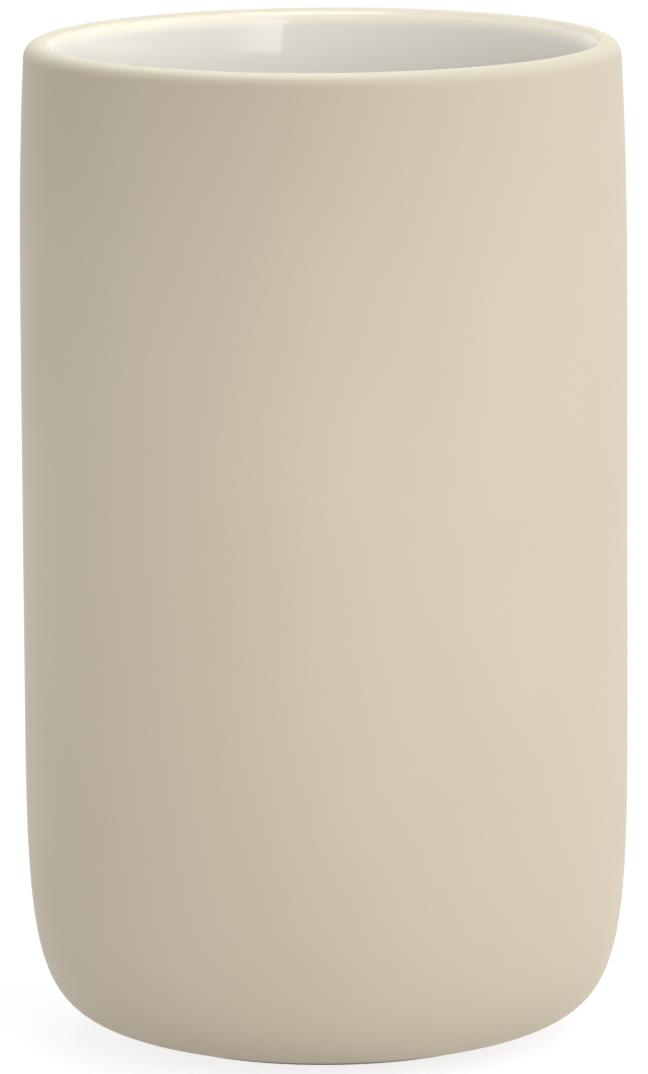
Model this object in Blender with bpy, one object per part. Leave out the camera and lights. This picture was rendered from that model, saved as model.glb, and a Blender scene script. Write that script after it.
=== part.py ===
"""A round open toothbrush tumbler in glazed and coated stoneware, standing on four soft pads.

Units are metres and +Z is up. The axis of the cup is the Z axis, and z = 0 is the surface it stands on.
Outlines are (radius, height) points. They run from the foot up the outside, over the lip and down the inside.
"""

import math

import bmesh
import bpy
from mathutils import Vector
from mathutils.geometry import interpolate_bezier

MM = 0.001

# Overall size of the finished cup.
HEIGHT = 110.0 * MM
BELLY_RADIUS = 33.1 * MM
WALL = 4.7 * MM

# Shoulder: the top of the barrel leans in a little towards the lip.
SHOULDER_HEIGHT = 30.0 * MM
SHOULDER_SET_IN = 0.62 * MM
SHOULDER_LEAN = math.radians(3.0)
SHOULDER_PULL_SHARE = 0.34

# Lip: two unequal quarter rounds that meet at the crest. It is thinner than the wall.
LIP_WALL = 3.3 * MM
LIP_OUTER_DROP = 1.65 * MM
LIP_INNER_DROP = 2.0 * MM
LIP_CREST_SHARE = 0.53
ROUND_PULL_SHARE = 0.5523

# Flare: the inside opens out towards the lip.
FLARE_HEIGHT = 10.0 * MM
FLARE_LEAN = math.radians(12.0)
FLARE_PULL_SHARE = 0.34

# Knuckle: the big turn from the wall to the foot, tightest near the foot.
KNUCKLE_HEIGHT = 34.0 * MM
KNUCKLE_FOOT_LEAN = math.radians(11.4)
KNUCKLE_FOOT_PULL_SHARE = 0.885
KNUCKLE_WALL_PULL_SHARE = 0.843

# Foot ring and the shallow recess inside it.
FOOT_RADIUS = 20.6 * MM
FOOT_RING_WIDTH = 2.6 * MM
FOOT_ROUND = 0.3 * MM
RECESS_DEPTH = 1.6 * MM
RECESS_FILLET = 0.8 * MM

# Inside: a flat floor with a soft corner up to the wall.
FLOOR_THICKNESS = 4.2 * MM
FLOOR_RADIUS = 20.5 * MM
CORNER_HEIGHT = 11.0 * MM
CORNER_PULL_SHARE = 0.58

# Glaze and coat: skins over the clay, each a hair clear of it and of the other.
SKIN = 0.4 * MM
SKIN_GAP = 0.3 * MM
COAT_EDGE_RISE = 0.25 * MM

# Round self-adhesive pads stuck in the recess.
PAD_COUNT = 4
PAD_RADIUS = 4.0 * MM
PAD_STAND = 0.6 * MM
PAD_EDGE_ROUND = 0.5 * MM
PAD_GLUE_LINE = 0.3 * MM
PAD_SIDE_CLEARANCE = 0.6 * MM

# Fineness of the curves.
AROUND_STEPS = 48
PAD_AROUND_STEPS = 20
KNUCKLE_STEPS = 12
SHOULDER_STEPS = 3
LIP_STEPS = 5
FLARE_STEPS = 4
CORNER_STEPS = 7
SMALL_ROUND_STEPS = 2
MERGE_DISTANCE = 0.001 * MM
SHARP_ANGLE = math.radians(35.0)

# Heights and radii that follow from the sizes above.
foot_height = PAD_STAND
recess_height = foot_height + RECESS_DEPTH
floor_height = recess_height + FLOOR_THICKNESS
lip_radius = BELLY_RADIUS - SHOULDER_SET_IN
crest_radius = lip_radius - LIP_WALL * LIP_CREST_SHARE


def point(radius, height):
    return Vector((radius, height))


def slanted(length, angle):
    """A step of a length, turned up from level by an angle."""
    return point(length * math.cos(angle), length * math.sin(angle))


def curve(start, start_pull, end_pull, end, steps):
    """Points along a cubic curve, past its start and up to its end. A pull leads from an end to its handle."""
    return interpolate_bezier(start, start + start_pull, end + end_pull, end, steps + 1)[1:]


def quarter_round(start, corner, end, steps):
    """A quarter of an ellipse from start to end, inside a corner."""
    start_pull = (corner - start) * ROUND_PULL_SHARE
    end_pull = (corner - end) * ROUND_PULL_SHARE
    return curve(start, start_pull, end_pull, end, steps)


def outside_outline():
    """The finished outside, from the foot's edge up to the crest of the lip."""
    foot_edge = point(FOOT_RADIUS, foot_height + COAT_EDGE_RISE)
    knuckle_top = point(BELLY_RADIUS, KNUCKLE_HEIGHT)
    lip_edge = point(lip_radius, HEIGHT - LIP_OUTER_DROP)
    barrel_top = point(BELLY_RADIUS, lip_edge.y - SHOULDER_HEIGHT)
    crest = point(crest_radius, HEIGHT)
    shoulder_pull = SHOULDER_HEIGHT * SHOULDER_PULL_SHARE
    foot_pull = (BELLY_RADIUS - FOOT_RADIUS) * KNUCKLE_FOOT_PULL_SHARE
    wall_pull = (KNUCKLE_HEIGHT - foot_edge.y) * KNUCKLE_WALL_PULL_SHARE
    lip_pull = slanted(LIP_OUTER_DROP * ROUND_PULL_SHARE, SHOULDER_LEAN + math.pi / 2)
    crest_pull = point((lip_radius - crest_radius) * ROUND_PULL_SHARE, 0)
    outline = [foot_edge]
    outline += curve(
        foot_edge,
        slanted(foot_pull, KNUCKLE_FOOT_LEAN),
        point(0, -wall_pull),
        knuckle_top,
        KNUCKLE_STEPS,
    )
    outline.append(barrel_top)
    outline += curve(
        barrel_top,
        point(0, shoulder_pull),
        slanted(shoulder_pull, SHOULDER_LEAN - math.pi / 2),
        lip_edge,
        SHOULDER_STEPS,
    )
    outline += curve(lip_edge, lip_pull, crest_pull, crest, LIP_STEPS)
    return outline


def down_the_flare(length):
    """A step down the inside, along the lean that the flare has at the lip."""
    return slanted(length, -math.pi / 2 - FLARE_LEAN)


def lip_inner_outline():
    """The inner half of the lip, from past the crest down to where the coat ends."""
    crest = point(crest_radius, HEIGHT)
    coat_end = point(lip_radius - LIP_WALL, HEIGHT - LIP_INNER_DROP)
    crest_pull = (coat_end.x - crest.x) * ROUND_PULL_SHARE
    end_pull = down_the_flare(-LIP_INNER_DROP * ROUND_PULL_SHARE)
    return curve(crest, point(crest_pull, 0), end_pull, coat_end, LIP_STEPS)


def inside_outline():
    """The finished inside, from just under the coat's end down to the middle of the floor."""
    inner_radius = BELLY_RADIUS - WALL
    coat_end = point(lip_radius - LIP_WALL, HEIGHT - LIP_INNER_DROP)
    glaze_start = coat_end + down_the_flare(SKIN_GAP)
    flare_pull = FLARE_HEIGHT * FLARE_PULL_SHARE
    outline = [glaze_start]
    outline += curve(
        glaze_start,
        down_the_flare(flare_pull),
        point(0, flare_pull),
        point(inner_radius, coat_end.y - FLARE_HEIGHT),
        FLARE_STEPS,
    )
    outline.append(point(inner_radius, floor_height + CORNER_HEIGHT))
    outline += curve(
        outline[-1],
        point(0, -CORNER_HEIGHT * CORNER_PULL_SHARE),
        point((inner_radius - FLOOR_RADIUS) * CORNER_PULL_SHARE, 0),
        point(FLOOR_RADIUS, floor_height),
        CORNER_STEPS,
    )
    outline.append(point(0, floor_height))
    return outline


def inset(outline, depth):
    """The outline moved into the material, square to itself."""
    moved = []
    last = len(outline) - 1
    for index, here in enumerate(outline):
        along = outline[min(index + 1, last)] - outline[max(index - 1, 0)]
        along.normalize()
        moved.append(here + point(-along.y, along.x) * depth)
    return moved


def foot_outline(coat_end, clay_start):
    """The bare underside, from the axis out across the recess and round the foot ring."""
    outer = coat_end.x - SKIN_GAP
    inner = outer - FOOT_RING_WIDTH
    outline = [point(0, recess_height), point(inner - RECESS_FILLET, recess_height)]
    outline += quarter_round(
        outline[-1],
        point(inner, recess_height),
        point(inner, recess_height - RECESS_FILLET),
        SMALL_ROUND_STEPS,
    )
    outline.append(point(inner, foot_height + FOOT_ROUND))
    outline += quarter_round(
        outline[-1],
        point(inner, foot_height),
        point(inner + FOOT_ROUND, foot_height),
        SMALL_ROUND_STEPS,
    )
    outline.append(point(outer - FOOT_ROUND, foot_height))
    outline += quarter_round(
        outline[-1],
        point(outer, foot_height),
        point(outer, foot_height + FOOT_ROUND),
        SMALL_ROUND_STEPS,
    )
    outline.append(point(outer, clay_start.y))
    return outline


def turned_mesh(name, outline, closed, steps):
    """Turns an outline about Z. An open outline starts and ends on the axis."""
    shape = bmesh.new()
    ring = [shape.verts.new((p.x, 0, p.y)) for p in outline]
    pairs = list(zip(ring, ring[1:]))
    if closed:
        pairs.append((ring[-1], ring[0]))
    edges = [shape.edges.new(pair) for pair in pairs]
    bmesh.ops.spin(
        shape,
        geom=ring + edges,
        cent=(0, 0, 0),
        axis=(0, 0, 1),
        angle=math.tau,
        steps=steps,
    )
    bmesh.ops.remove_doubles(shape, verts=shape.verts, dist=MERGE_DISTANCE)
    bmesh.ops.recalc_face_normals(shape, faces=shape.faces)
    mesh = bpy.data.meshes.new(name)
    shape.to_mesh(mesh)
    shape.free()
    mesh.shade_smooth()
    mesh.set_sharp_from_angle(angle=SHARP_ANGLE)
    return mesh


def material(name, colour, roughness, coat=0.0):
    """A Principled material with a linear colour. Nothing here is metal."""
    made = bpy.data.materials.new(name)
    made.use_nodes = True
    shader = made.node_tree.nodes["Principled BSDF"]
    shader.inputs["Base Color"].default_value = (*colour, 1.0)
    shader.inputs["Roughness"].default_value = roughness
    shader.inputs["Metallic"].default_value = 0.0
    shader.inputs["Coat Weight"].default_value = coat
    made.diffuse_color = (*colour, 1.0)
    return made


def add(name, mesh, finish, parent, location=(0, 0, 0)):
    mesh.materials.clear()
    mesh.materials.append(finish)
    piece = bpy.data.objects.new(name, mesh)
    bpy.context.scene.collection.objects.link(piece)
    piece.parent = parent
    piece.location = location
    return piece


def add_clay_body(finished, foot, parent):
    """The fired cup that carries the skins: barrel, knuckle, lip, floor and foot ring."""
    outline = foot + inset(finished, SKIN + SKIN_GAP)
    finish = material("bare_stoneware", (0.76, 0.71, 0.62), roughness=0.85)
    return add("clay_body", turned_mesh("clay_body", outline, False, AROUND_STEPS), finish, parent)


def add_soft_touch_coat(outer, inner, parent):
    """The matte outer skin, from the foot's edge over the lip to just inside it."""
    outline = outer + list(reversed(inner))
    finish = material("soft_touch_beige", (0.69, 0.62, 0.51), roughness=0.6)
    mesh = turned_mesh("soft_touch_coat", outline, True, AROUND_STEPS)
    return add("soft_touch_coat", mesh, finish, parent)


def add_white_glaze(outer, inner, parent):
    """The gloss lining of the wall and floor."""
    outline = list(reversed(outer)) + inner
    finish = material("gloss_white_glaze", (0.86, 0.86, 0.83), roughness=0.08, coat=0.5)
    mesh = turned_mesh("white_glaze", outline, False, AROUND_STEPS)
    return add("white_glaze", mesh, finish, parent)


def add_non_slip_pads(recess_radius, parent):
    """Round pads inside the foot ring, standing a little below it, with a rounded lower edge."""
    top = recess_height - PAD_GLUE_LINE
    outline = [point(0, 0), point(PAD_RADIUS - PAD_EDGE_ROUND, 0)]
    outline += quarter_round(
        outline[-1],
        point(PAD_RADIUS, 0),
        point(PAD_RADIUS, PAD_EDGE_ROUND),
        SMALL_ROUND_STEPS,
    )
    outline += [point(PAD_RADIUS, top), point(0, top)]
    mesh = turned_mesh("non_slip_pad", outline, False, PAD_AROUND_STEPS)
    finish = material("pad_foam", (0.52, 0.52, 0.50), roughness=0.75)
    circle = recess_radius - PAD_SIDE_CLEARANCE - PAD_RADIUS
    for index in range(PAD_COUNT):
        angle = math.tau * (index + 0.5) / PAD_COUNT
        place = (circle * math.cos(angle), circle * math.sin(angle), 0)
        add(f"non_slip_pad_{index + 1}", mesh, finish, parent, place)


def main():
    for old in list(bpy.data.objects):
        bpy.data.objects.remove(old)
    holder = bpy.data.objects.new("toothbrush_holder", None)
    bpy.context.scene.collection.objects.link(holder)

    coated = outside_outline() + lip_inner_outline()
    finished = coated + inside_outline()
    under_skin = inset(finished, SKIN)
    seam = len(coated)
    foot = foot_outline(under_skin[0], inset(finished, SKIN + SKIN_GAP)[0])

    add_clay_body(finished, foot, holder)
    add_soft_touch_coat(finished[:seam], under_skin[:seam], holder)
    add_white_glaze(finished[seam:], under_skin[seam:], holder)
    add_non_slip_pads(under_skin[0].x - SKIN_GAP - FOOT_RING_WIDTH, holder)


main()
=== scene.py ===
import math

import bpy
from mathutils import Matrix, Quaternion, Vector
from mathutils.geometry import interpolate_bezier


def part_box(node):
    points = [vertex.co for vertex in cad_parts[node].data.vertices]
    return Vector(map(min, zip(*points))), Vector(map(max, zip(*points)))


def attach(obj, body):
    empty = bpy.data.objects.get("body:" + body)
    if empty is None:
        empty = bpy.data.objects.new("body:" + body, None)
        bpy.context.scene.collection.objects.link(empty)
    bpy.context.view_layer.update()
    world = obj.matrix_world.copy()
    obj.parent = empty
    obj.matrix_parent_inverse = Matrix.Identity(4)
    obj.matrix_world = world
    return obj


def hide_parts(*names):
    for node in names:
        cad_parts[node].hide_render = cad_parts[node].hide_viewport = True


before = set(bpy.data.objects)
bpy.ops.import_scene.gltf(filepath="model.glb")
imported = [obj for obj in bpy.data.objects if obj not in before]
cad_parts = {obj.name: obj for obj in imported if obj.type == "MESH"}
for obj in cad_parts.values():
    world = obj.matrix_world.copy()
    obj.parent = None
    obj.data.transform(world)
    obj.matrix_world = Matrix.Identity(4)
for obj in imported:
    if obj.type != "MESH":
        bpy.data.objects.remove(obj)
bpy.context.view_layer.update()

mm = 0.001
onAxis = 0.01 * mm  # a ring of a smaller radius is a point on the axis
aroundSides = 144
smoothBelow = 40  # degrees between two faces
plainWhite = (1.0, 1.0, 1.0, 1.0)
print("frame loaded")


# Helpers for drawing outlines. An outline point is (radius, height) on the cup's turned section.

def spot(radius, height):
    return Vector((radius, height))


def slanted(length, angle):
    return Vector((length * math.cos(angle), length * math.sin(angle)))


# points along a smooth bend, past its start and up to its end
def bend(start, startPull, endPull, end, steps):
    return interpolate_bezier(start, start + startPull, end + endPull, end, steps + 1)[1:]


# the same outline moved into the material, square to itself
def inset(outline, depth):
    moved = []
    last = len(outline) - 1
    for index, here in enumerate(outline):
        along = outline[min(index + 1, last)] - outline[max(index - 1, 0)]
        along.normalize()
        moved.append(here + spot(-along.y, along.x) * depth)
    return moved


# Helpers for modelling.

def startFresh():
    bpy.ops.object.select_all(action="DESELECT")


def nameIt(piece, name):
    piece.name = name
    piece.data.name = name


# A circle is extruded ring by ring along an outline, as a pot is thrown.
# An outline that ends on the axis has its last ring merged to a point.
def growRings(name, outline, sides):
    startFresh()
    first = outline[0]
    bpy.ops.mesh.primitive_circle_add(vertices=sides, radius=first.x, location=(0, 0, first.y))
    piece = bpy.context.object
    nameIt(piece, name)
    bpy.ops.object.transform_apply(location=True, rotation=True, scale=True)
    bpy.ops.object.mode_set(mode="EDIT")
    bpy.ops.mesh.select_all(action="SELECT")
    before = first
    for here in outline[1:]:
        lift = (0, 0, here.y - before.y)
        bpy.ops.mesh.extrude_edges_move(TRANSFORM_OT_translate={"value": lift})
        if here.x < onAxis:
            bpy.ops.mesh.merge(type="CENTER")
        else:
            grow = here.x / before.x
            bpy.ops.transform.resize(value=(grow, grow, 1), center_override=(0, 0, here.y))
        before = here
    bpy.ops.mesh.select_all(action="DESELECT")
    bpy.ops.object.mode_set(mode="OBJECT")
    return piece


# the first ring gets a fan of faces to a point on the axis, at its own height
def closeFirstRing(piece, sides):
    bpy.ops.object.mode_set(mode="EDIT")
    bpy.ops.mesh.select_mode(type="VERT")
    bpy.ops.mesh.select_all(action="DESELECT")
    bpy.ops.object.mode_set(mode="OBJECT")
    for vertex in piece.data.vertices:
        vertex.select = vertex.index < sides
    bpy.ops.object.mode_set(mode="EDIT")
    bpy.ops.mesh.edge_face_add()
    bpy.ops.mesh.poke()
    bpy.ops.mesh.select_all(action="DESELECT")
    bpy.ops.object.mode_set(mode="OBJECT")


# faces out: the face nearest a place known to be outside has to look at it
def faceOutwards(piece, outsidePlace):
    place = Vector(outsidePlace)
    nearest = min(piece.data.polygons, key=lambda face: (face.center - place).length)
    if nearest.normal.dot(place - nearest.center) < 0:
        bpy.ops.object.mode_set(mode="EDIT")
        bpy.ops.mesh.select_all(action="SELECT")
        bpy.ops.mesh.flip_normals()
        bpy.ops.object.mode_set(mode="OBJECT")


def thicken(piece, depth):
    wall = piece.modifiers.new("wall", "SOLIDIFY")
    wall.thickness = depth
    wall.offset = -1
    wall.use_even_offset = True
    bpy.ops.object.modifier_apply(modifier="wall")


def softenShading(piece):
    startFresh()
    piece.select_set(True)
    bpy.context.view_layer.objects.active = piece
    bpy.ops.object.shade_smooth_by_angle(angle=math.radians(smoothBelow))


def finishPiece(piece, finish, slotName, *nodes):
    piece.data.materials.clear()
    piece.data.materials.append(finish)
    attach(piece, "root")
    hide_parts(*nodes)


# Helpers for materials. Each gives back the output that the next step takes.

def newFinish(name):
    finish = bpy.data.materials.new(name)
    finish.use_nodes = True
    nodes = finish.node_tree.nodes
    return finish, nodes, finish.node_tree.links, nodes["Principled BSDF"]


def addPlace(nodes):
    return nodes.new("ShaderNodeTexCoord").outputs["Object"]


def addHeight(nodes, links):
    split = nodes.new("ShaderNodeSeparateXYZ")
    links.new(addPlace(nodes), split.inputs["Vector"])
    return split.outputs["Z"]


def addNoise(nodes, links, scale, detail=2.0, roughness=0.5):
    noise = nodes.new("ShaderNodeTexNoise")
    noise.inputs["Scale"].default_value = scale
    noise.inputs["Detail"].default_value = detail
    noise.inputs["Roughness"].default_value = roughness
    links.new(addPlace(nodes), noise.inputs["Vector"])
    return noise.outputs["Fac"]


# cells give back their node, because their distance and their colour are both used
def addCells(nodes, links, scale):
    cells = nodes.new("ShaderNodeTexVoronoi")
    cells.inputs["Scale"].default_value = scale
    links.new(addPlace(nodes), cells.inputs["Vector"])
    return cells


def addRange(nodes, links, source, fromLow, fromHigh, toLow, toHigh, smooth=False):
    spread = nodes.new("ShaderNodeMapRange")
    spread.interpolation_type = "SMOOTHSTEP" if smooth else "LINEAR"
    spread.inputs["From Min"].default_value = fromLow
    spread.inputs["From Max"].default_value = fromHigh
    spread.inputs["To Min"].default_value = toLow
    spread.inputs["To Max"].default_value = toHigh
    links.new(source, spread.inputs["Value"])
    return spread.outputs["Result"]


def addMath(nodes, links, operation, first, second):
    step = nodes.new("ShaderNodeMath")
    step.operation = operation
    for socket, value in zip(step.inputs, (first, second)):
        if isinstance(value, (int, float)):
            socket.default_value = value
        else:
            links.new(value, socket)
    return step.outputs[0]


def addColourMix(nodes, links, share, first, second):
    mix = nodes.new("ShaderNodeMix")
    mix.data_type = "RGBA"
    for socket, value in ((mix.inputs[0], share), (mix.inputs[6], first), (mix.inputs[7], second)):
        if isinstance(value, tuple):
            socket.default_value = (*value, 1.0)
        else:
            links.new(value, socket)
    return mix.outputs[2]


# bumps laid over each other, the coarsest first, each one as its height and its depth
def addRelief(nodes, links, shader, *layers):
    under = None
    for height, depth in layers:
        bump = nodes.new("ShaderNodeBump")
        bump.inputs["Distance"].default_value = depth
        bump.inputs["Strength"].default_value = 1.0
        links.new(height, bump.inputs["Height"])
        if under is not None:
            links.new(under, bump.inputs["Normal"])
        under = bump.outputs["Normal"]
    links.new(under, shader.inputs["Normal"])


# Camera: a long lens about a metre away, looking a little down, and rolled a hair.

cameraShot = {
    "distance": 1.0,
    "pitchDegrees": 9.755,
    "rollDegrees": 0.353,
    "lensMm": 305.96,
    "aim": (-0.00013, 0.0, 0.05519),
    "seenFrom": 0.05,
    "seenTo": 60.0,
}


def placeCamera():
    pitch = math.radians(cameraShot["pitchDegrees"])
    back = Vector((0, -math.cos(pitch), math.sin(pitch)))
    turn = back.to_track_quat("Z", "Y") @ Quaternion((0, 0, 1), -math.radians(cameraShot["rollDegrees"]))
    bpy.ops.object.camera_add()
    camera = bpy.context.object
    nameIt(camera, "camera")
    camera.rotation_mode = "QUATERNION"
    camera.rotation_quaternion = turn
    camera.location = Vector(cameraShot["aim"]) + back * cameraShot["distance"]
    camera.data.lens = cameraShot["lensMm"]
    camera.data.clip_start = cameraShot["seenFrom"]
    camera.data.clip_end = cameraShot["seenTo"]
    bpy.context.scene.camera = camera


placeCamera()
print("camera placed")


# Light: a tall key softbox front right whose right side fades out in three panels, softer ones at the side, high
# up and behind, small fills close to the cup, and an even white room. Angles are in degrees, and azimuth 0 is the
# camera's side.

keyPlace = {"azimuth": 28.5, "elevation": 24, "distance": 1.7, "height": 0.94}
softboxes = {
    "keySoftbox": {**keyPlace, "across": -0.1725, "width": 0.285, "watts": 2.38},
    "keyPanelNear": {**keyPlace, "across": 0.04, "width": 0.14, "watts": 0.94},
    "keyPanelMiddle": {**keyPlace, "across": 0.18, "width": 0.14, "watts": 0.61},
    "keyPanelFar": {**keyPlace, "across": 0.32, "width": 0.14, "watts": 0.28},
    "sideSoftbox": {
        "azimuth": 108, "elevation": 20, "distance": 1.5, "width": 1.4, "height": 1.6, "watts": 3.7,
    },
    "highSoftbox": {
        "azimuth": 68, "elevation": 48, "distance": 1.5, "width": 1.6, "height": 1.6, "watts": 7.3,
    },
    "backSoftbox": {
        "azimuth": 200, "elevation": 55, "distance": 1.5, "width": 0.8, "height": 0.8, "watts": 4.7,
    },
    "leftFill": {
        "azimuth": -60, "elevation": 0, "distance": 0.11, "width": 0.05, "height": 0.05, "watts": 0.0058,
    },
    "frontFill": {
        "azimuth": 5, "elevation": 5, "distance": 0.095, "width": 0.04, "height": 0.04, "watts": 0.0070,
    },
    "rightFill": {
        "azimuth": 60, "elevation": 10, "distance": 0.11, "width": 0.05, "height": 0.05, "watts": 0.0067,
    },
    "topFill": {
        "azimuth": 0, "elevation": 90, "distance": 0.2, "width": 0.08, "height": 0.08, "watts": 0.093,
    },
}
roomLight = {"litBy": 0.345, "shownAs": 1.0, "middle": (0.0, 0.0, 0.055)}


def addSoftbox(name, box):
    azimuth = math.radians(box["azimuth"])
    elevation = math.radians(box["elevation"])
    away = Vector((
        math.sin(azimuth) * math.cos(elevation),
        -math.cos(azimuth) * math.cos(elevation),
        math.sin(elevation),
    ))
    bpy.ops.object.light_add(type="AREA")
    lamp = bpy.context.object
    nameIt(lamp, name)
    turn = away.to_track_quat("Z", "Y")
    aside = turn @ Vector((box.get("across", 0.0), 0, 0))
    lamp.location = Vector(roomLight["middle"]) + away * box["distance"] + aside
    lamp.rotation_mode = "QUATERNION"
    lamp.rotation_quaternion = turn
    lamp.data.shape = "RECTANGLE"
    lamp.data.size = box["width"]
    lamp.data.size_y = box["height"]
    lamp.data.energy = box["watts"]
    lamp.visible_camera = False


# adds up the light path's camera, glossy and transmission rays, to show a plain white there
def addSeenDirectly(nodes, links):
    path = nodes.new("ShaderNodeLightPath")
    seen = addMath(nodes, links, "ADD", path.outputs["Is Camera Ray"], path.outputs["Is Glossy Ray"])
    return addMath(nodes, links, "ADD", seen, path.outputs["Is Transmission Ray"])


def lightTheRoom():
    for name, box in softboxes.items():
        addSoftbox(name, box)
    world = bpy.data.worlds.new("whiteRoom")
    bpy.context.scene.world = world
    world.use_nodes = True
    nodes, links = world.node_tree.nodes, world.node_tree.links
    seen = addSeenDirectly(nodes, links)
    strength = addRange(nodes, links, seen, 0.0, 1.0, roomLight["litBy"], roomLight["shownAs"])
    nodes["Background"].inputs["Color"].default_value = plainWhite
    links.new(strength, nodes["Background"].inputs["Strength"])


floorPlan = {"radius": 12.0, "sides": 96, "paint": (0.86, 0.86, 0.86), "shownGlow": 0.84, "shownPaintShare": 0.3}


# a white sweep: lit paint, part of which is shown as plain white, so that a soft shadow is left
def layFloor():
    startFresh()
    bpy.ops.mesh.primitive_circle_add(
        vertices=floorPlan["sides"], radius=floorPlan["radius"], fill_type="NGON")
    floor = bpy.context.object
    nameIt(floor, "floor")
    finish, nodes, links, shader = newFinish("whiteFloor")
    seen = addSeenDirectly(nodes, links)
    shownPaint = tuple(part * floorPlan["shownPaintShare"] for part in floorPlan["paint"])
    links.new(addColourMix(nodes, links, seen, floorPlan["paint"], shownPaint), shader.inputs["Base Color"])
    shader.inputs["Roughness"].default_value = 1.0
    shader.inputs["Specular IOR Level"].default_value = 0.0
    shader.inputs["Emission Color"].default_value = plainWhite
    glow = addRange(nodes, links, seen, 0.0, 1.0, 0.0, floorPlan["shownGlow"])
    links.new(glow, shader.inputs["Emission Strength"])
    floor.data.materials.append(finish)


lightTheRoom()
layFloor()
bpy.context.scene.view_settings.view_transform = "Standard"
print("room lit")


# The cup's section. Sizes that the frame has are read from it.

coatLow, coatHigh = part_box("soft_touch_coat")

cup = {
    "belly": coatHigh.x,
    "top": coatHigh.z,
    "coatEdge": coatLow.z,
    "foot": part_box("clay_body")[0].z,
    "skin": 0.4 * mm,
    "wall": 4.7 * mm,
    "lipWall": 3.3 * mm,
    "lipOuterDrop": 1.65 * mm,
    "lipInnerDrop": 2.0 * mm,
    "crestShare": 0.53,
    "roundPullShare": 0.5523,
    "shoulderHeight": 30.0 * mm,
    "shoulderSetIn": 0.62 * mm,
    "shoulderLean": math.radians(3.0),
    "knuckleHeight": 34.0 * mm,
    "knuckleLean": math.radians(11.4),
    "knuckleFootPullShare": 0.885,
    "knuckleWallPullShare": 0.843,
    "footRadius": 20.6 * mm,
    "footRingWidth": 2.6 * mm,
    "footRound": 0.3 * mm,
    "recessDepth": 1.6 * mm,
    "recessFillet": 0.8 * mm,
    "recessRingShares": (0.02, 0.5, 1.0),
    "flareHeight": 10.0 * mm,
    "flareLean": math.radians(12.0),
    "floorRadius": 20.5 * mm,
    "floorRingShares": (0.66, 0.33, 0.0),
    "cornerHeight": 11.0 * mm,
    "cornerPullShare": 0.58,
    "pullShare": 0.34,
    "seam": 0.001 * mm,
}
ringCounts = {
    "knuckle": 40, "barrel": 6, "shoulder": 16, "lip": 16,
    "flare": 24, "innerWall": 6, "corner": 20, "recess": 6, "footRound": 5,
}
cup["floor"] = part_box("white_glaze")[0].z + cup["skin"]
lipRadius = cup["belly"] - cup["shoulderSetIn"]
crest = spot(lipRadius - cup["lipWall"] * cup["crestShare"], cup["top"])
coatEnd = spot(lipRadius - cup["lipWall"], cup["top"] - cup["lipInnerDrop"])
flareDown = -math.pi / 2 - cup["flareLean"]
noPull = spot(0, 0)
besideCup = (cup["belly"] * 2, 0, cup["top"] / 2)
insideCup = (0, 0, cup["top"] / 2)


def outsideOutline():
    footEdge = spot(cup["footRadius"], cup["coatEdge"])
    knuckleTop = spot(cup["belly"], cup["knuckleHeight"])
    lipEdge = spot(lipRadius, cup["top"] - cup["lipOuterDrop"])
    barrelTop = spot(cup["belly"], lipEdge.y - cup["shoulderHeight"])
    footPull = slanted((cup["belly"] - cup["footRadius"]) * cup["knuckleFootPullShare"], cup["knuckleLean"])
    wallPull = spot(0, (footEdge.y - knuckleTop.y) * cup["knuckleWallPullShare"])
    shoulderPull = cup["shoulderHeight"] * cup["pullShare"]
    shoulderLow = spot(0, shoulderPull)
    shoulderHigh = slanted(shoulderPull, cup["shoulderLean"] - math.pi / 2)
    lipPull = slanted(cup["lipOuterDrop"] * cup["roundPullShare"], cup["shoulderLean"] + math.pi / 2)
    crestPull = spot((lipRadius - crest.x) * cup["roundPullShare"], 0)
    outline = [footEdge]
    outline += bend(footEdge, footPull, wallPull, knuckleTop, ringCounts["knuckle"])
    outline += bend(knuckleTop, noPull, noPull, barrelTop, ringCounts["barrel"])
    outline += bend(barrelTop, shoulderLow, shoulderHigh, lipEdge, ringCounts["shoulder"])
    outline += bend(lipEdge, lipPull, crestPull, crest, ringCounts["lip"])
    return outline


def lipInnerOutline():
    crestPull = spot((coatEnd.x - crest.x) * cup["roundPullShare"], 0)
    endPull = slanted(-cup["lipInnerDrop"] * cup["roundPullShare"], flareDown)
    return bend(crest, crestPull, endPull, coatEnd, ringCounts["lip"])


def insideOutline():
    innerRadius = cup["belly"] - cup["wall"]
    start = coatEnd + slanted(cup["seam"], flareDown)
    flareEnd = spot(innerRadius, coatEnd.y - cup["flareHeight"])
    flarePull = cup["flareHeight"] * cup["pullShare"]
    cornerTop = spot(innerRadius, cup["floor"] + cup["cornerHeight"])
    floorEdge = spot(cup["floorRadius"], cup["floor"])
    cornerDrop = spot(0, -cup["cornerHeight"] * cup["cornerPullShare"])
    cornerReach = spot((innerRadius - cup["floorRadius"]) * cup["cornerPullShare"], 0)
    outline = [start]
    outline += bend(start, slanted(flarePull, flareDown), spot(0, flarePull), flareEnd, ringCounts["flare"])
    outline += bend(flareEnd, noPull, noPull, cornerTop, ringCounts["innerWall"])
    outline += bend(cornerTop, cornerDrop, cornerReach, floorEdge, ringCounts["corner"])
    outline += [spot(floorEdge.x * share, floorEdge.y) for share in cup["floorRingShares"]]
    return outline


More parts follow.
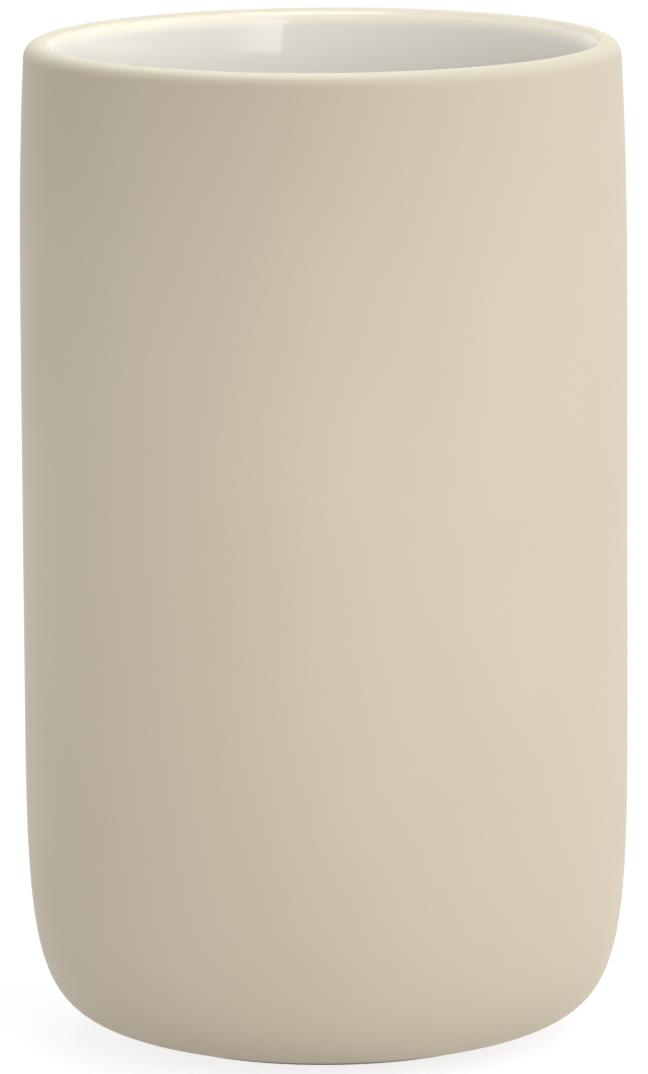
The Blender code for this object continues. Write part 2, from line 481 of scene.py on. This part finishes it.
# from the middle of the recess, round its fillet, to the foot ring's outer edge
def footOutline(outer):
    inner = outer - cup["footRingWidth"]
    foot, roundOff = cup["foot"], cup["footRound"]
    recess = foot + cup["recessDepth"]
    fillet = cup["recessFillet"]
    pull = cup["roundPullShare"]
    filletStart = spot(inner - fillet, recess)
    filletEnd = spot(inner, recess - fillet)
    outline = [spot(filletStart.x * share, recess) for share in cup["recessRingShares"]]
    outline += bend(filletStart, spot(fillet * pull, 0), spot(0, fillet * pull), filletEnd, ringCounts["recess"])
    ringTurns = (
        (spot(inner, foot + roundOff), spot(0, -roundOff * pull),
         spot(-roundOff * pull, 0), spot(inner + roundOff, foot)),
        (spot(outer - roundOff, foot), spot(roundOff * pull, 0),
         spot(0, -roundOff * pull), spot(outer, foot + roundOff)),
    )
    for start, startPull, endPull, end in ringTurns:
        outline += [start] + bend(start, startPull, endPull, end, ringCounts["footRound"])
    return outline


coated = outsideOutline() + lipInnerOutline()
lining = insideOutline()
print("section drawn")


# Coat and glaze: a soft matte skin from the foot's edge over the lip, ending in a soft sprayed edge just inside,
# and the gloss lining of the wall and the floor. A span is the part of a noise that a range is spread over.

coatLook = {
    "beige": (0.708, 0.62, 0.482),
    "shade": (0.680, 0.590, 0.452),
    "lipBeige": (0.67, 0.62, 0.486),
    "lipFrom": cup["top"] - 1.2 * mm,
    "lipFull": cup["top"] - 0.35 * mm,
    "cloudScale": 24.0,
    "cloudSpan": (0.35, 0.65),
    "roughness": 0.52,
    "roughnessSpread": 0.03,
    "roughnessScale": 72.0,
    "roughnessSpan": (0.3, 0.7),
    "sheen": 0.08,
    "sheenRoughness": 0.4,
    "grainScale": 5200.0,
    "grainDepth": 0.0035 * mm,
    "peelScale": 900.0,
    "peelDepth": 0.006 * mm,
    "speckScale": 210.0,
    "speckSize": 0.022,
    "speckTint": (0.46, 0.38, 0.28),
    "speckShare": 0.35,
    "speckedShare": 0.03,
}
glazeLook = {
    "white": (0.881, 0.860, 0.797),
    "roughness": 0.05,
    "waveScale": 60.0,
    "waveDepth": 0.02 * mm,
    "fineScale": 420.0,
    "fineDepth": 0.0015 * mm,
}
sprayEdge = {
    "start": cup["top"] - 0.1 * mm,
    "end": cup["top"] - 0.66 * mm,
    "raggedScale": 500.0,
    "raggedSpan": (0.3, 0.7),
    "ragged": 0.05 * mm,
    # a cream tint of thin overspray, made lighter than the glaze as a painted highlight on the inner lip
    "mistAndPaintedLight": (0.94, 0.89, 0.75),
    "mistAndPaintedLightStart": cup["top"] - 1.0 * mm,
    "mistAndPaintedLightEnd": cup["top"] - 1.9 * mm,
}


# the glaze, with a pale mist of the spray on it below the lip, partly painted light: the band is made lighter
# than the glaze to stand in for light on the inner lip
def addGlazeColour(nodes, links):
    height = addHeight(nodes, links)
    mistAndPaintedLight = addRange(nodes, links, height, sprayEdge["mistAndPaintedLightEnd"], sprayEdge["mistAndPaintedLightStart"], 0.0, 1.0, smooth=True)
    return addColourMix(nodes, links, mistAndPaintedLight, glazeLook["white"], sprayEdge["mistAndPaintedLight"])


# 0 on the bare glaze and 1 on the full coat: it fades inside the lip, and is full wherever the coat is outside
def addSprayShare(nodes, links, onCoat):
    height = addHeight(nodes, links)
    noise = addNoise(nodes, links, sprayEdge["raggedScale"], detail=3.0)
    ragged = addRange(nodes, links, noise, *sprayEdge["raggedSpan"], -sprayEdge["ragged"], sprayEdge["ragged"])
    raggedHeight = addMath(nodes, links, "ADD", height, ragged)
    byHeight = addRange(nodes, links, raggedHeight, sprayEdge["end"], sprayEdge["start"], 0.0, 1.0, smooth=True)
    if not onCoat:
        return byHeight
    flat = nodes.new("ShaderNodeVectorMath")
    flat.operation = "MULTIPLY"
    flat.inputs[1].default_value = (1.0, 1.0, 0.0)
    links.new(addPlace(nodes), flat.inputs[0])
    radius = nodes.new("ShaderNodeVectorMath")
    radius.operation = "LENGTH"
    links.new(flat.outputs["Vector"], radius.inputs[0])
    pastCrest = addMath(nodes, links, "GREATER_THAN", radius.outputs["Value"], crest.x)
    belowLip = addMath(nodes, links, "LESS_THAN", height, coatEnd.y - cup["skin"])
    outside = addMath(nodes, links, "MAXIMUM", pastCrest, belowLip)
    return addMath(nodes, links, "MAXIMUM", byHeight, outside)


# beige with soft clouds, a less red lip and a few specks
def addCoatColour(nodes, links):
    cloud = addNoise(nodes, links, coatLook["cloudScale"], detail=3.0)
    cloudShare = addRange(nodes, links, cloud, *coatLook["cloudSpan"], 0.0, 1.0)
    colour = addColourMix(nodes, links, cloudShare, coatLook["shade"], coatLook["beige"])
    height = addHeight(nodes, links)
    lip = addRange(nodes, links, height, coatLook["lipFrom"], coatLook["lipFull"], 0.0, 1.0, smooth=True)
    colour = addColourMix(nodes, links, lip, colour, coatLook["lipBeige"])
    specks = addCells(nodes, links, coatLook["speckScale"])
    size = coatLook["speckSize"]
    dot = addRange(nodes, links, specks.outputs["Distance"], size, size * 2, coatLook["speckShare"], 0.0)
    cell = nodes.new("ShaderNodeSeparateColor")
    links.new(specks.outputs["Color"], cell.inputs["Color"])
    chosen = addMath(nodes, links, "LESS_THAN", cell.outputs["Red"], coatLook["speckedShare"])
    dot = addMath(nodes, links, "MULTIPLY", dot, chosen)
    return addColourMix(nodes, links, dot, colour, coatLook["speckTint"])


# colour and roughness shared by the coat and the glaze, which meet in the sprayed edge
def makeSkinFinish(name, onCoat):
    finish, nodes, links, shader = newFinish(name)
    share = addSprayShare(nodes, links, onCoat)
    colour = addColourMix(nodes, links, share, addGlazeColour(nodes, links), addCoatColour(nodes, links))
    links.new(colour, shader.inputs["Base Color"])
    cloud = addNoise(nodes, links, coatLook["roughnessScale"])
    middle, spread = coatLook["roughness"], coatLook["roughnessSpread"]
    matte = addRange(nodes, links, cloud, *coatLook["roughnessSpan"], middle - spread, middle + spread)
    change = addMath(nodes, links, "SUBTRACT", matte, glazeLook["roughness"])
    change = addMath(nodes, links, "MULTIPLY", change, share)
    rough = addMath(nodes, links, "ADD", change, glazeLook["roughness"])
    links.new(rough, shader.inputs["Roughness"])
    return finish, nodes, links, shader


def makeCoatFinish():
    finish, nodes, links, shader = makeSkinFinish("softTouchBeige", True)
    peel = addNoise(nodes, links, coatLook["peelScale"])
    grain = addNoise(nodes, links, coatLook["grainScale"])
    addRelief(nodes, links, shader, (peel, coatLook["peelDepth"]), (grain, coatLook["grainDepth"]))
    shader.inputs["Sheen Weight"].default_value = coatLook["sheen"]
    shader.inputs["Sheen Roughness"].default_value = coatLook["sheenRoughness"]
    return finish


def makeGlazeFinish():
    finish, nodes, links, shader = makeSkinFinish("glossWhiteGlaze", False)
    wave = addNoise(nodes, links, glazeLook["waveScale"], detail=1.0)
    fine = addNoise(nodes, links, glazeLook["fineScale"])
    addRelief(nodes, links, shader, (wave, glazeLook["waveDepth"]), (fine, glazeLook["fineDepth"]))
    return finish


def makeSkin(name, outline, outsidePlace, finish, slotName, node):
    skin = growRings(name, outline, aroundSides)
    faceOutwards(skin, outsidePlace)
    thicken(skin, cup["skin"])
    softenShading(skin)
    finishPiece(skin, finish, slotName, node)
    return skin


coat = makeSkin("softTouchCoat", coated, besideCup, makeCoatFinish(), "soft_touch_beige", "soft_touch_coat")
print("coat made", len(coat.data.polygons))
glaze = makeSkin("whiteGlaze", lining, insideCup, makeGlazeFinish(), "gloss_white_glaze", "white_glaze")
print("glaze made", len(glaze.data.polygons))


# Clay: the fired cup under both skins, bare at the foot ring and in the recess.

clayLook = {
    "cream": (0.74, 0.68, 0.585),
    "warm": (0.66, 0.585, 0.47),
    "cloudScale": 90.0,
    "grogScale": 900.0,
    "grogSpan": (0.66, 0.72),
    "grogTint": (0.40, 0.31, 0.22),
    "grogShare": 0.45,
    "roughness": 0.86,
    "grainScale": 1800.0,
    "grainDepth": 0.03 * mm,
    "turnMarkScale": 900.0,
    "turnMarkDepth": 0.012 * mm,
    "turnMarkWander": 1.5,
}


def makeClayFinish():
    finish, nodes, links, shader = newFinish("bareStoneware")
    cloud = addNoise(nodes, links, clayLook["cloudScale"], detail=3.0)
    colour = addColourMix(nodes, links, cloud, clayLook["warm"], clayLook["cream"])
    grog = addNoise(nodes, links, clayLook["grogScale"], roughness=0.6)
    fleck = addRange(nodes, links, grog, *clayLook["grogSpan"], 0.0, clayLook["grogShare"])
    links.new(addColourMix(nodes, links, fleck, colour, clayLook["grogTint"]), shader.inputs["Base Color"])
    shader.inputs["Roughness"].default_value = clayLook["roughness"]
    turnMarks = nodes.new("ShaderNodeTexWave")
    turnMarks.wave_type = "RINGS"
    turnMarks.rings_direction = "Z"
    turnMarks.inputs["Scale"].default_value = clayLook["turnMarkScale"]
    turnMarks.inputs["Distortion"].default_value = clayLook["turnMarkWander"]
    links.new(addPlace(nodes), turnMarks.inputs["Vector"])
    grain = addNoise(nodes, links, clayLook["grainScale"], detail=4.0, roughness=0.6)
    addRelief(nodes, links, shader,
              (turnMarks.outputs["Fac"], clayLook["turnMarkDepth"]), (grain, clayLook["grainDepth"]))
    return finish


def makeClay():
    under = inset(coated + lining, cup["skin"] + cup["seam"])
    ring = footOutline(under[0].x)
    clay = growRings("clayBody", ring + under, aroundSides)
    closeFirstRing(clay, aroundSides)
    faceOutwards(clay, besideCup)
    softenShading(clay)
    finishPiece(clay, makeClayFinish(), "bare_stoneware", "clay_body")
    return clay


clayBody = makeClay()
print("clay made", len(clayBody.data.polygons))


# Pads: soft round foam pads in the recess, each on its film of glue.

padShape = {
    "sides": 72,
    "edgeRound": 0.5 * mm,
    "topRound": 0.12 * mm,
    "dishRadiusShare": 0.62,
    "dishFlatShare": 0.5,
    "dishDepth": 0.08 * mm,
    "glueSetIn": 0.15 * mm,
    "dishRings": 6,
    "edgeRings": 8,
    "topRings": 4,
}
padLook = {
    "grey": (0.50, 0.50, 0.48),
    "dark": (0.42, 0.42, 0.40),
    "cloudScale": 700.0,
    "cellScale": 2600.0,
    "cellDepth": 0.03 * mm,
    "roughness": 0.78,
    "glue": (0.72, 0.70, 0.62),
    "glueRoughness": 0.35,
}


def makePadFinish(glueStart):
    finish, nodes, links, shader = newFinish("padFoam")
    cloud = addNoise(nodes, links, padLook["cloudScale"], detail=3.0)
    foam = addColourMix(nodes, links, cloud, padLook["dark"], padLook["grey"])
    onGlue = addMath(nodes, links, "GREATER_THAN", addHeight(nodes, links), glueStart)
    links.new(addColourMix(nodes, links, onGlue, foam, padLook["glue"]), shader.inputs["Base Color"])
    rough = addRange(nodes, links, onGlue, 0.0, 1.0, padLook["roughness"], padLook["glueRoughness"])
    links.new(rough, shader.inputs["Roughness"])
    cells = addCells(nodes, links, padLook["cellScale"])
    addRelief(nodes, links, shader, (cells.outputs["Distance"], padLook["cellDepth"]))
    return finish


# from the shallow dish under the pad, round its edges, to the film of glue that reaches the recess
def padOutline(radius, low, high, ceiling):
    pull = cup["roundPullShare"]
    edge, top = padShape["edgeRound"], padShape["topRound"]
    dishRadius = radius * padShape["dishRadiusShare"]
    dishEdge = spot(dishRadius, low)
    dishFlat = spot(dishRadius * padShape["dishFlatShare"], low + padShape["dishDepth"])
    halfWay = spot((dishEdge.x - dishFlat.x) / 2, 0)
    edgeStart, edgeEnd = spot(radius - edge, low), spot(radius, low + edge)
    topStart, topEnd = spot(radius, high - top), spot(radius - top, high)
    glueRadius = radius - padShape["glueSetIn"]
    outline = [dishFlat]
    outline += bend(dishFlat, halfWay, -halfWay, dishEdge, padShape["dishRings"])
    outline += [edgeStart]
    outline += bend(edgeStart, spot(edge * pull, 0), spot(0, -edge * pull), edgeEnd, padShape["edgeRings"])
    outline += [topStart]
    outline += bend(topStart, spot(0, top * pull), spot(top * pull, 0), topEnd, padShape["topRings"])
    outline += [spot(glueRadius, high), spot(glueRadius, ceiling), spot(0, ceiling)]
    return outline


def makePad(node, finish):
    low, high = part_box(node)
    middle = (low + high) / 2
    ceiling = cup["foot"] + cup["recessDepth"] - cup["seam"]
    outline = padOutline((high.x - low.x) / 2, low.z, high.z, ceiling)
    pad = growRings("foamPad" + node[-1], outline, padShape["sides"])
    closeFirstRing(pad, padShape["sides"])
    bpy.ops.object.mode_set(mode="EDIT")
    bpy.ops.mesh.select_all(action="SELECT")
    bpy.ops.transform.translate(value=(middle.x, middle.y, 0))
    bpy.ops.object.mode_set(mode="OBJECT")
    faceOutwards(pad, (cup["belly"] * 2, middle.y, middle.z))
    softenShading(pad)
    finishPiece(pad, finish, "pad_foam", node)


padNodes = sorted(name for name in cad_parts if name.startswith("non_slip_pad"))
padFinish = makePadFinish(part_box(padNodes[0])[1].z)
for node in padNodes:
    makePad(node, padFinish)
print("pads made", len(padNodes))
